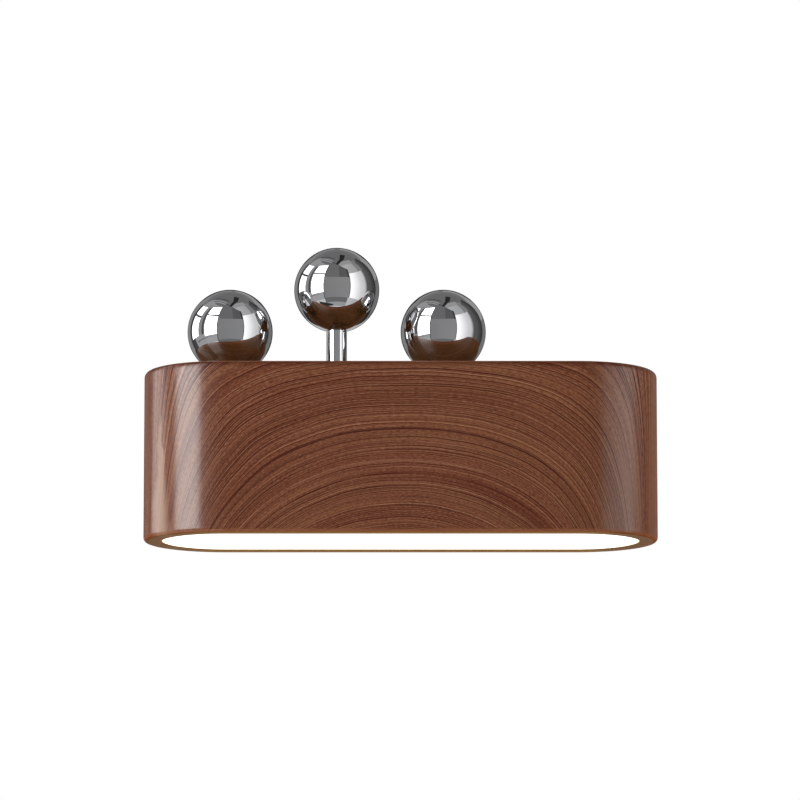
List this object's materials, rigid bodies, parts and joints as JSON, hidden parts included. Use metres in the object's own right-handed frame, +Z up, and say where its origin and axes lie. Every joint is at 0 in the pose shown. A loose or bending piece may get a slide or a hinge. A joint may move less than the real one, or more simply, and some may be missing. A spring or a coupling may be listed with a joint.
{
  "type": "wall lamp",
  "caption": "Oblong wooden wall lamp that shines down through an opal diffuser, with chrome balls on top, one on a stem as the push switch, and a slotted wall bracket.",
  "frame": {"origin": "centre of the wall bracket's slot pattern on the wall plane", "axes": "+X along the wall to the viewer's right, +Y into the wall, +Z up; the lamp stands out along -Y"},
  "size_m": [0.3, 0.095, 0.1743],
  "materials": {
    "walnut": "semi-gloss lacquered dark walnut",
    "opal": "opal, lit from behind",
    "white_enamel": "white powder coat",
    "white_board": "white solder mask",
    "phosphor": "yellow phosphor",
    "white_plastic": "moulded",
    "grey_plastic": "moulded",
    "cream_plastic": "moulded",
    "brass": "machined",
    "zinc_steel": "bright zinc plate",
    "chrome": "mirror polished",
    "spring_steel": "oiled",
    "black_plastic": "moulded",
    "red_plastic": "moulded",
    "black_rubber": "matt",
    "wire_brown": "insulation",
    "wire_blue": "insulation",
    "wire_green": "insulation",
    "wire_red": "insulation"
  },
  "bodies": {
    "lamp": {"wood_body": "walnut", "diffuser": "opal", "reflector_pan": "white_enamel", "led_board": "white_board", "led_chips": "phosphor", "led_plug": "white_plastic", "led_board_screws": "zinc_steel", "pan_posts": "zinc_steel", "pan_screws": "zinc_steel", "driver_case": "grey_plastic", "driver_cover": "white_plastic", "driver_screws": "zinc_steel", "terminal_block": "cream_plastic", "terminal_sleeves": "brass", "terminal_screws": "zinc_steel", "block_screws": "zinc_steel", "left_ball": "chrome", "right_ball": "chrome", "ball_nuts": "zinc_steel", "ball_studs": "zinc_steel", "ball_washers": "zinc_steel", "ball_lock_nuts": "zinc_steel", "return_spring": "spring_steel", "guide_bush": "brass", "bush_washer": "zinc_steel", "bush_nut": "zinc_steel", "switch_strap": "zinc_steel", "strap_screws": "zinc_steel", "push_switch": "black_plastic", "switch_screws": "zinc_steel", "switch_tabs": "brass", "back_plate": "zinc_steel", "back_plate_screws": "zinc_steel", "back_plate_nuts": "zinc_steel", "cable_grommet": "black_rubber", "wall_bracket": "zinc_steel", "hanging_screws": "zinc_steel", "bracket_earth_screw": "brass", "pan_grommet": "black_rubber", "earth_screw": "brass", "earth_ring": "zinc_steel", "live_wires": "wire_brown", "neutral_wire": "wire_blue", "earth_wire": "wire_green", "led_wires": "wire_red"},
    "push_knob": {"switch_ball": "chrome", "switch_ball_nut": "zinc_steel", "switch_ball_stud": "zinc_steel", "switch_stem": "chrome", "stem_clip": "spring_steel", "switch_plunger": "red_plastic"}
  },
  "joints": [
    {"name": "switch_press", "type": "slide", "parent": "lamp", "child": "push_knob", "axis": [0, 0, -1], "range_m": [0, 0.005], "stiffness_N_per_m": 350, "springref_m": -0.01, "deforming": ["return_spring"]}
  ]
}
